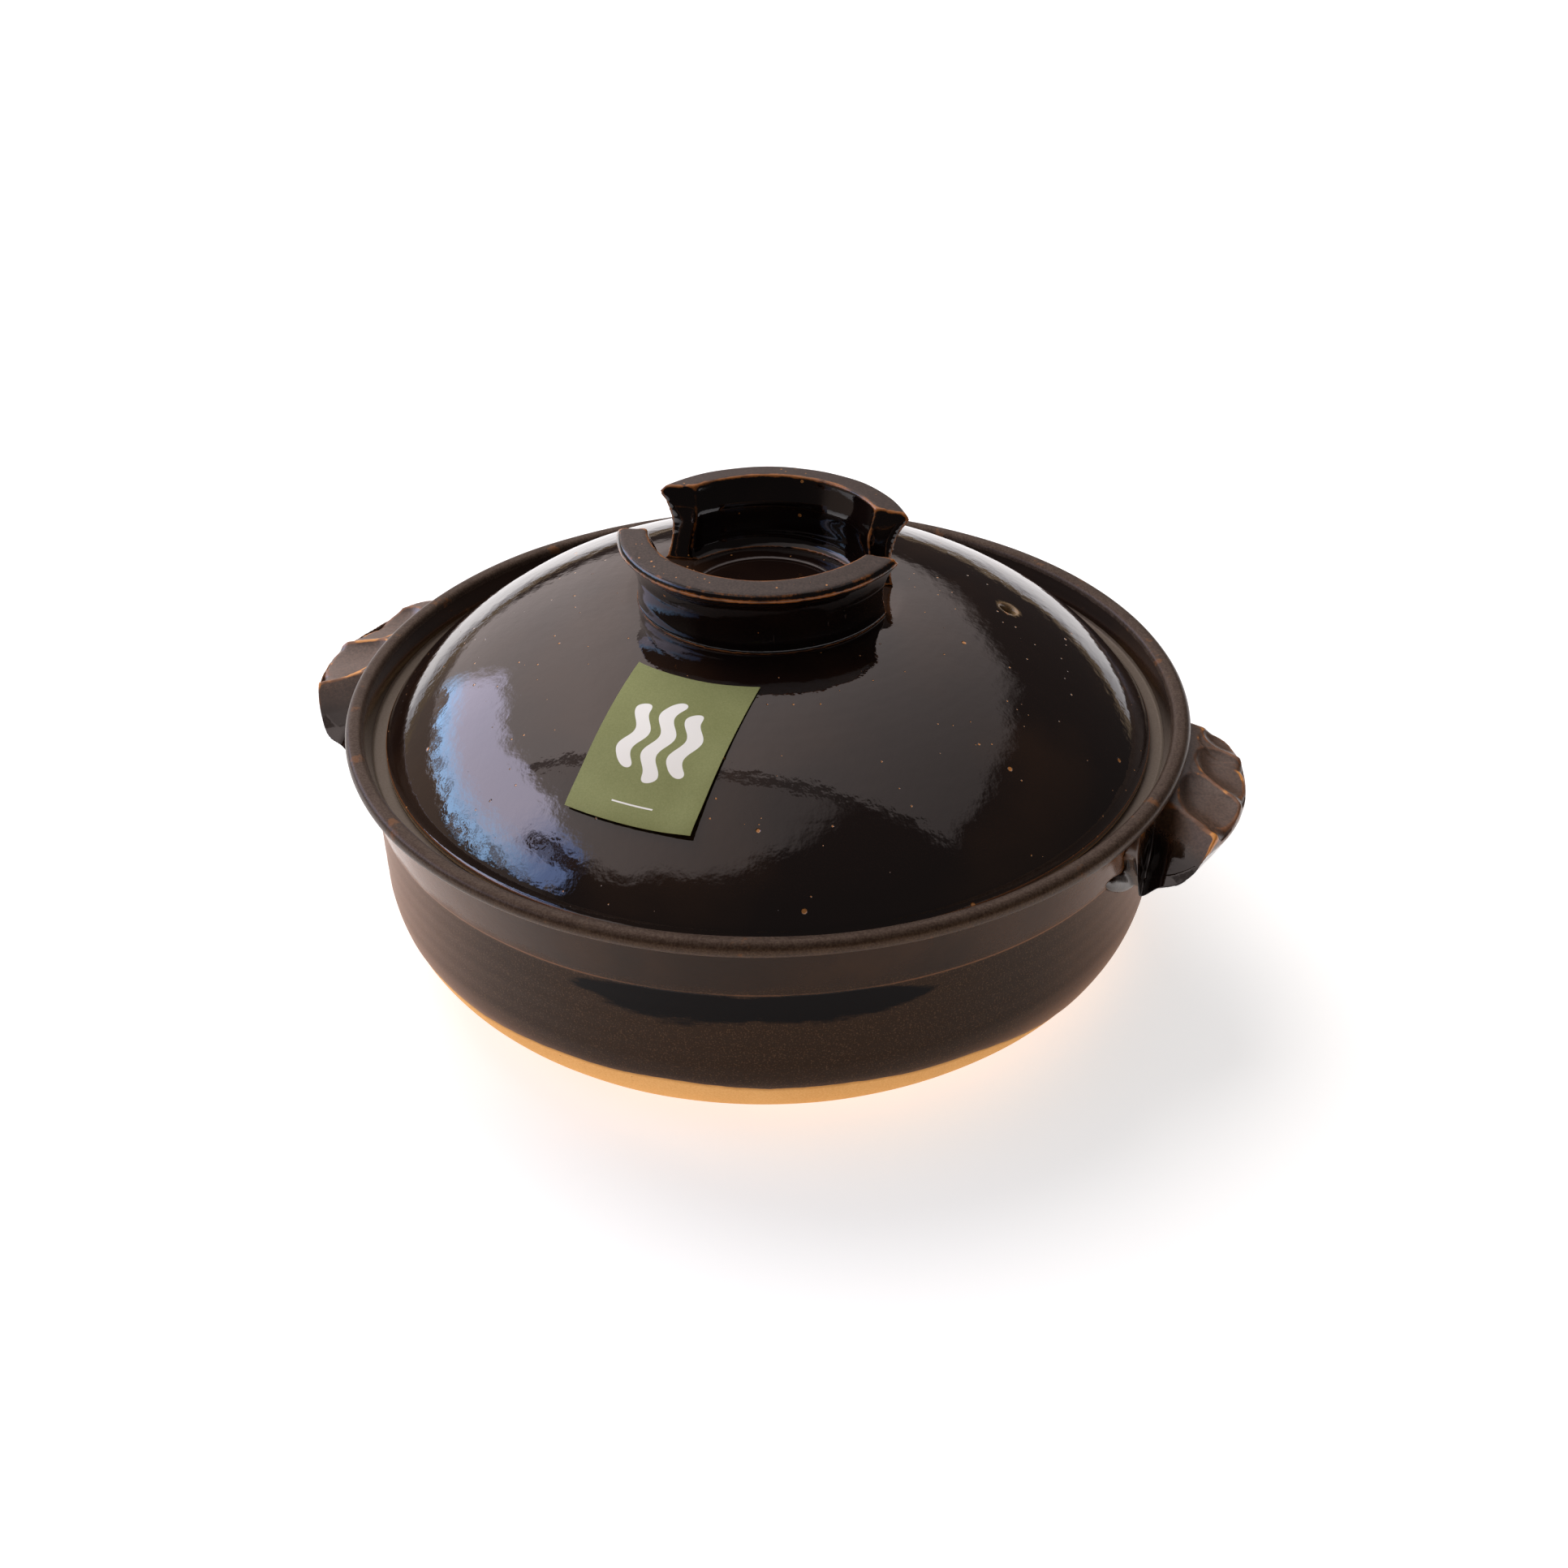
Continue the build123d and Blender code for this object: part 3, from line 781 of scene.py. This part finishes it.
# Steam hole, pierced square to the dome with a flared mouth
HOLE_DISTANCE = 84.2
HOLE_AZIMUTH = math.radians(22.1)
hole_lean = math.asin((HOLE_DISTANCE - DOME_CENTRE[0]) / DOME_RADIUS)
SKEWER = [
    (0, -14),
    (2.9, -14),
    (2.9, -1.2),
    (3.05, -0.75),
    (3.45, -0.25),
    (4.1, 0.1),
    (5.2, 0.5),
    (5.2, 3),
    (0, 3),
]
SKEWER_TURNS = 40
skewer = throw("skewer", [np.array(point, float) for point in SKEWER], SKEWER_TURNS)
skewer.data.transform(
    Matrix.Rotation(HOLE_AZIMUTH, 4, "Z")
    @ Matrix.Translation((HOLE_DISTANCE * MM, 0, dome_height(HOLE_DISTANCE) * MM))
    @ Matrix.Rotation(hole_lean, 4, "Y")
)
deselect()
bpy.context.view_layer.objects.active = lid
lid.select_set(True)
pierce = lid.modifiers.new("pierce", "BOOLEAN")
pierce.operation = "DIFFERENCE"
pierce.solver = "EXACT"
pierce.object = skewer
apply_all(lid)
bpy.data.objects.remove(skewer)
soften(lid, amount=0.55 * MM, scale=0.05)

# Bare clay on the foot of the lid, and a burnt ring round the hole
points = coordinates(lid)
radius = np.hypot(points[:, 0], points[:, 1])
foot = (radius > 0.1253) & (points[:, 2] < 0.0817)
hole = np.array((math.cos(HOLE_AZIMUTH), math.sin(HOLE_AZIMUTH), 0)) * HOLE_DISTANCE * MM
hole[2] = dome_height(HOLE_DISTANCE) * MM
axis = np.array((math.cos(HOLE_AZIMUTH), math.sin(HOLE_AZIMUTH), 0)) * math.sin(hole_lean)
axis[2] = math.cos(hole_lean)
from_axis = np.linalg.norm(np.cross(points - hole, axis), axis=1)
burnt = 1 - rise(from_axis, 0.0038, 0.0046)
mark(lid, "bare", np.maximum(foot, 0.3 * burnt))
mark_edges(lid, passes=1)
dress(lid, lid_glaze(), "glaze", "lid", "lid_dome")


# Knob

KNOB_RADIUS = 0.0434
KNOB_LEAN = 0.075
KNOB_FLARE = 0.02
SLIP_FILLET = 0.0009
FINGER_HOLLOW = 0.0015

knob_finish = knob_glaze()
for name, node in (("front_crescent", "knob_front"), ("back_crescent", "knob_back")):
    crescent = lump_of(name, node)
    knead(crescent, grain=0.55 * MM, passes=12)
    soften(crescent, amount=0.5 * MM, scale=0.02)
    points, out = coordinates(crescent), normals(crescent)
    radius, height = np.hypot(points[:, 0], points[:, 1]), points[:, 2]
    outwards = (out[:, 0] * points[:, 0] + out[:, 1] * points[:, 1]) / radius

    # The outer side leans out from a fillet of slip and flares to the top. A finger hollows the inner side.
    fillet = SLIP_FILLET * np.exp(-np.maximum(0, height - 0.1308) / 0.0006)
    foot = KNOB_RADIUS + KNOB_LEAN * (height - 0.131) + fillet
    flare = KNOB_FLARE * rise(height, 0.143, 0.152)
    slim = np.where(radius > 0.0415, np.minimum(radius, foot + flare), radius)
    slim = slim - FINGER_HOLLOW * np.exp(-(((height - 0.1462) / 0.0055) ** 2)) * rise(-outwards, 0.2, 0.7)
    points[:, :2] *= (slim / radius)[:, None]
    reshape(crescent, points)
    mark(crescent, "top", rise(normals(crescent)[:, 2], 0.7, 0.97) * rise(points[:, 2], 0.150, 0.153))
    mark_edges(crescent)
    dress(crescent, knob_finish, "glaze", "lid", node)


# Handles

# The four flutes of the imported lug: their places across it, radius, middle outwards, and height over the top
FLUTES = (-31.5, -10.5, 10.5, 31.5)
FLUTE_RADIUS = 19.0
FLUTE_OUT = 157.4
FLUTE_OVER = 16.8
# The lug's top where it meets the wall, its slope outwards, and the radius that arches it across
LUG_TOP = 83.8
LUG_ROOT = 139.7
LUG_SLOPE = math.tan(math.radians(8))
LUG_ARCH = 1004 / 2
# How far out the places of the ridges are given
RIDGE_OUT = 155
# Fall of the slanting near end, by the distance beyond the last ridge
NEAR_END = ((0, 2, 6, 12, 19, 27, 34), (0, 1.4, 4.4, 8.6, 12.0, 15.0, 17.5))
LOWEST_END = 61.5
# Name, node, side and turn of each lug; its thumb prints between two ridges (place and slant of each ridge,
# inner end, depth); the last ridge and how steeply the end falls beyond it; and the smear of slip that joins
# the end to the wall (azimuth, distance, height, size, tilt)
LUGS = (
    (
        "right_lug",
        "handle_right",
        1,
        1.2,
        (
            ((27.4, -0.30), (44.0, -0.30), 148.5, 2.3),
            ((6.0, -0.68), (26.4, -0.30), 149.0, 2.7),
            ((-20.0, -0.58), (5.0, -0.68), 147.0, 2.5),
        ),
        (-21.0, -0.58),
        1.0,
        (-14.0, 139.3, 62.6, (2.2, 14.0, 3.6), 30),
    ),
    (
        "left_lug",
        "handle_left",
        -1,
        0.0,
        (
            ((6.8, -0.30), (35.0, -0.34), 152.5, 3.9),
            ((-21.6, -0.60), (5.8, -0.30), 150.0, 3.6),
        ),
        (-22.6, -0.60),
        0.9,
        (-166.0, 139.3, 62.0, (2.2, 14.0, 3.6), -30),
    ),
)


def ground_press(across, out):
    """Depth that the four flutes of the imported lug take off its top."""
    depth = np.zeros_like(out)
    for middle in FLUTES:
        square = FLUTE_RADIUS**2 - (across - middle) ** 2 - np.maximum(0, FLUTE_OUT - out) ** 2
        depth = np.maximum(depth, np.sqrt(np.maximum(square, 0)) - FLUTE_OVER)
    return depth


def thumb_press(across, out, near, far, inner, deep):
    """Depth of one thumb print between two slanting ridges: flat in the middle, steep at its edges."""
    share = (across - near) / (far - near)
    side = np.abs(2 * share - 1) ** 2.6
    back = (np.maximum(0, inner + 9 - out) / 9) ** 2.2
    return deep * np.clip(1 - side - back, 0, 1) ** 0.75


def slanted(line, out):
    """Place across the lug of a ridge, given as its place and slant, at a distance outwards."""
    return line[0] + line[1] * (out - RIDGE_OUT)


handle_finish = handle_glaze()
for name, node, side, turn, prints, ridge, fall, smear in LUGS:
    lug = lump_of(name, node)
    deselect()
    smear_azimuth, distance, level, size, tilt = smear
    bpy.ops.mesh.primitive_ico_sphere_add(subdivisions=4, radius=1 * MM)
    blob = bpy.context.object
    blob.data.transform(
        Matrix.Rotation(math.radians(smear_azimuth), 4, "Z")
        @ Matrix.Translation((distance * MM, 0, level * MM))
        @ Matrix.Rotation(math.radians(-tilt), 4, "X")
        @ Matrix.Diagonal((*size, 1))
    )
    lug.select_set(True)
    bpy.context.view_layer.objects.active = lug
    bpy.ops.object.join()
    knead(lug, grain=0.62 * MM, passes=6)

    # Flutes are filled up to the plain top again, and the thumb prints pressed in
    points, up = coordinates(lug) / MM, normals(lug)[:, 2]
    facing = math.radians(turn)
    out = side * (points[:, 0] * math.cos(facing) + points[:, 1] * math.sin(facing))
    across = points[:, 1] * math.cos(facing) - points[:, 0] * math.sin(facing)
    height = points[:, 2]
    top = LUG_TOP - LUG_SLOPE * (out - LUG_ROOT) - across**2 / (2 * LUG_ARCH)
    weight = rise(up, 0.05, 0.4) * rise(height, 60, 66) * rise(out, 139.5, 143)
    pressed = np.zeros_like(out)
    for near, far, inner, deep in prints:
        print_depth = thumb_press(across, out, slanted(near, out), slanted(far, out), inner, deep)
        pressed = np.maximum(pressed, print_depth)
    height = height + weight * (ground_press(across, out) - pressed)

    # Beyond the last ridge the near end slants down to the wall
    beyond = np.maximum(0, slanted(ridge, out) - across)
    drop = np.interp(beyond, *NEAR_END) * fall
    drop = drop + 4.0 * rise(-out, -149.0, -142.0) * rise(beyond, 0, 9)
    slope = np.maximum(top - 0.3 - drop, LOWEST_END)
    height = height - np.maximum(0, height - slope) * (beyond > 0) * rise(out, 139.5, 142)
    points[:, 2] = height
    reshape(lug, points * MM)
    rub(lug, passes=2)
    soften(lug, amount=0.9 * MM, scale=0.016)
    mark_edges(lug)
    dress(lug, handle_finish, "glaze", "pot", node)


# Card and its pad

CARD_DISTANCE = 88.2
CARD_AZIMUTH = math.radians(-92.5)
CARD_TWIST = math.radians(-1.2)
PAPER_THICKNESS = 0.32
PAD_HEIGHT = 0.62


def lay_card():
    """Paper bent over the dome, its free edge and right side a little lifted."""
    deselect()
    columns, rows = round(CARD_WIDTH), round(CARD_LENGTH)
    bpy.ops.mesh.primitive_grid_add(x_subdivisions=columns, y_subdivisions=rows, size=1)
    card = bpy.context.object
    card.name = "paper_card"
    flat = coordinates(card)
    across, along = flat[:, 0] * CARD_WIDTH, flat[:, 1] * CARD_LENGTH
    side = across * math.cos(CARD_TWIST) - along * math.sin(CARD_TWIST)
    uphill = across * math.sin(CARD_TWIST) + along * math.cos(CARD_TWIST)
    lean = math.asin((CARD_DISTANCE - DOME_CENTRE[0]) / DOME_RADIUS) - uphill / DOME_RADIUS
    curl = 1.1 * rise(-along / CARD_LENGTH, 0.22, 0.5) ** 1.4
    curl = curl + 0.9 * rise(across / CARD_WIDTH, 0.2, 0.5) ** 1.5 * rise(-along / CARD_LENGTH, -0.35, 0.3)
    curl = curl + 0.06 * np.sin(across * 0.24 + along * 0.11)
    shell = DOME_RADIUS + PAD_HEIGHT + curl
    distance = DOME_CENTRE[0] + shell * np.sin(lean)
    height = DOME_CENTRE[1] + shell * np.cos(lean)
    swing = side / distance
    bent = (distance * np.cos(CARD_AZIMUTH + swing), distance * np.sin(CARD_AZIMUTH + swing), height)
    reshape(card, np.stack(bent, 1) * MM)
    bpy.ops.object.mode_set(mode="EDIT")
    bpy.ops.mesh.select_all(action="SELECT")
    bpy.ops.mesh.normals_make_consistent(inside=False)
    bpy.ops.object.mode_set(mode="OBJECT")
    if normals(card)[:, 2].mean() < 0:
        bpy.ops.object.mode_set(mode="EDIT")
        bpy.ops.mesh.flip_normals()
        bpy.ops.object.mode_set(mode="OBJECT")
    wall = card.modifiers.new("sheet", "SOLIDIFY")
    wall.thickness = PAPER_THICKNESS * MM
    wall.offset = 0
    apply_all(card)
    bpy.ops.object.shade_smooth_by_angle(angle=math.radians(40))
    return card


dress(lay_card(), card_paper(), "card", "lid", "label_card")
nodes["label_tape"].data.materials.clear()
nodes["label_tape"].data.materials.append(tape_finish())


# Floor and light

# The table is white to the eye, and throws warm light up at the pot
bpy.ops.mesh.primitive_plane_add(size=14)
floor = bpy.context.object
floor.name = "table_top"
paint = Finish("pale_table", Roughness=0.9)
rays = paint.node("LightPath").socket.node.outputs
seen, soft = Value(paint.tree, rays["Is Camera Ray"]), Value(paint.tree, rays["Is Diffuse Ray"])
table_white = paint.blend(seen, (0.84, 0.84, 0.84), (0.54, 0.54, 0.54))
table_glow = paint.blend(seen, (0.38, 0.38, 0.38), (0.68, 0.68, 0.68))
paint.wear(
    Base_Color=paint.blend(soft, table_white, (0.72, 0.57, 0.40)),
    Emission_Color=paint.blend(soft, table_glow, (0.82, 0.60, 0.36)),
)
paint.shader.inputs["Emission Strength"].default_value = 1
floor.data.materials.append(paint.material)

# A soft panel overhead, kept out of the glaze's reflections, lights clay, card and table
bpy.ops.object.light_add(type="AREA", location=(-0.75, 0.62, 1.45))
panel = bpy.context.object
panel.name = "overhead_panel"
panel.data.shape = "DISK"
panel.data.size = 1.6
panel.data.energy = 30
panel.data.color = (1.0, 0.97, 0.94)
panel.rotation_euler = (Vector((0, 0, 0)) - panel.location).to_track_quat("-Z", "Y").to_euler()
panel.visible_glossy = False

# The room that the glaze reflects: a window on the left, a pale ceiling and back wall, darkness in front
WINDOW_BLUE = (1.9, 3.1, 4.9)
WINDOW_PALE = (2.5, 2.3, 2.9)
WINDOW_EDGE = (0.75, 1.05, 2.0)
TWIGS = (0.55, 0.42, 0.36)
CURTAIN = (0.10, 0.07, 0.07)
WARM_WALL = (1.0, 0.86, 0.83)
LEFT_WALL = (0.26, 0.20, 0.17)
HORIZON = (0.34, 0.25, 0.17)

world = bpy.data.worlds.new("room")
bpy.context.scene.world = world
world.use_nodes = True
room = Nodes(world.node_tree)
direction = room.node("TexCoord", output=0)
x, y, z = room.axes(direction)
turn = reckon("ARCTAN2", y, -x) * (180 / math.pi)
climb = reckon("ARCSINE", z) * (180 / math.pi)
sway = (room.noise(4.0, detail=3.0, vector=direction) - 0.5) * 2
sill = 16.5 - turn * 0.36 + sway * 3
head = 39.5 - turn * 0.42 + sway * 4
head = reckon("MINIMUM", head, 46 + sway * 4)
pane = (
    room.ramp(turn, -47, -40)
    * room.ramp(turn, 33, 27)
    * room.ramp(climb - sill, 0, 2)
    * room.ramp(climb - head, 2, -3)
)
up_pane = (climb - sill) / (head - sill)
glass = room.blend(room.ramp(up_pane + sway * 0.15, 0.12, 0.5), WINDOW_BLUE, WINDOW_PALE)
glass = room.blend(room.ramp(turn, -14, -40), glass, WINDOW_EDGE)
shreds = room.ramp(room.noise(22, detail=4.0, roughness=0.6, vector=direction), 0.47, 0.55)
glass = room.blend(room.ramp(up_pane, 0.30, 0.10) * shreds, glass, TWIGS)
curtain = room.ramp(abs(climb - 30 + turn * 0.25 + sway * 5), 3.6, 1.6) * room.ramp(turn, -20, -27)
glass = room.blend(curtain * (1 - shreds * 0.5), glass, CURTAIN)
side = reckon("EXPONENT", -1.1 * x)
wall = side * 0.5 * room.ramp(z - x * 0.5 + sway * 0.10, 0.36, 0.46)
ceiling = room.ramp(z - x * 0.3 + sway * 0.06, 0.82, 0.88) * room.ramp(x + sway * 0.1, 0.42, 0.15)
ceiling = ceiling * side * 0.34
beam = room.ramp(abs(y + 0.01 + sway * 0.03), 0.012, 0.035)
back = room.ramp(y, -0.03, 0.03)
light = (ceiling * (1 - back) + wall * back) * (beam * 0.75 + 0.25)
horizon = room.ramp(abs(climb), 3, 0.5) * room.ramp(y + sway * 0.1, 0.1, 0.4)
colour = room.blend(light + 0.05, (0, 0, 0), WARM_WALL)
left_wall = room.ramp(x, -0.55, -0.8) * room.ramp(climb - sill, 2, -1)
colour = room.blend(left_wall, colour, LEFT_WALL)
colour = room.blend(horizon, colour, HORIZON)
colour = room.blend(pane, colour, glass)
shade = room.node("Background", Color=colour)
output = room.tree.nodes.new("ShaderNodeOutputWorld")
room.tree.links.new(shade.socket, output.inputs[0])
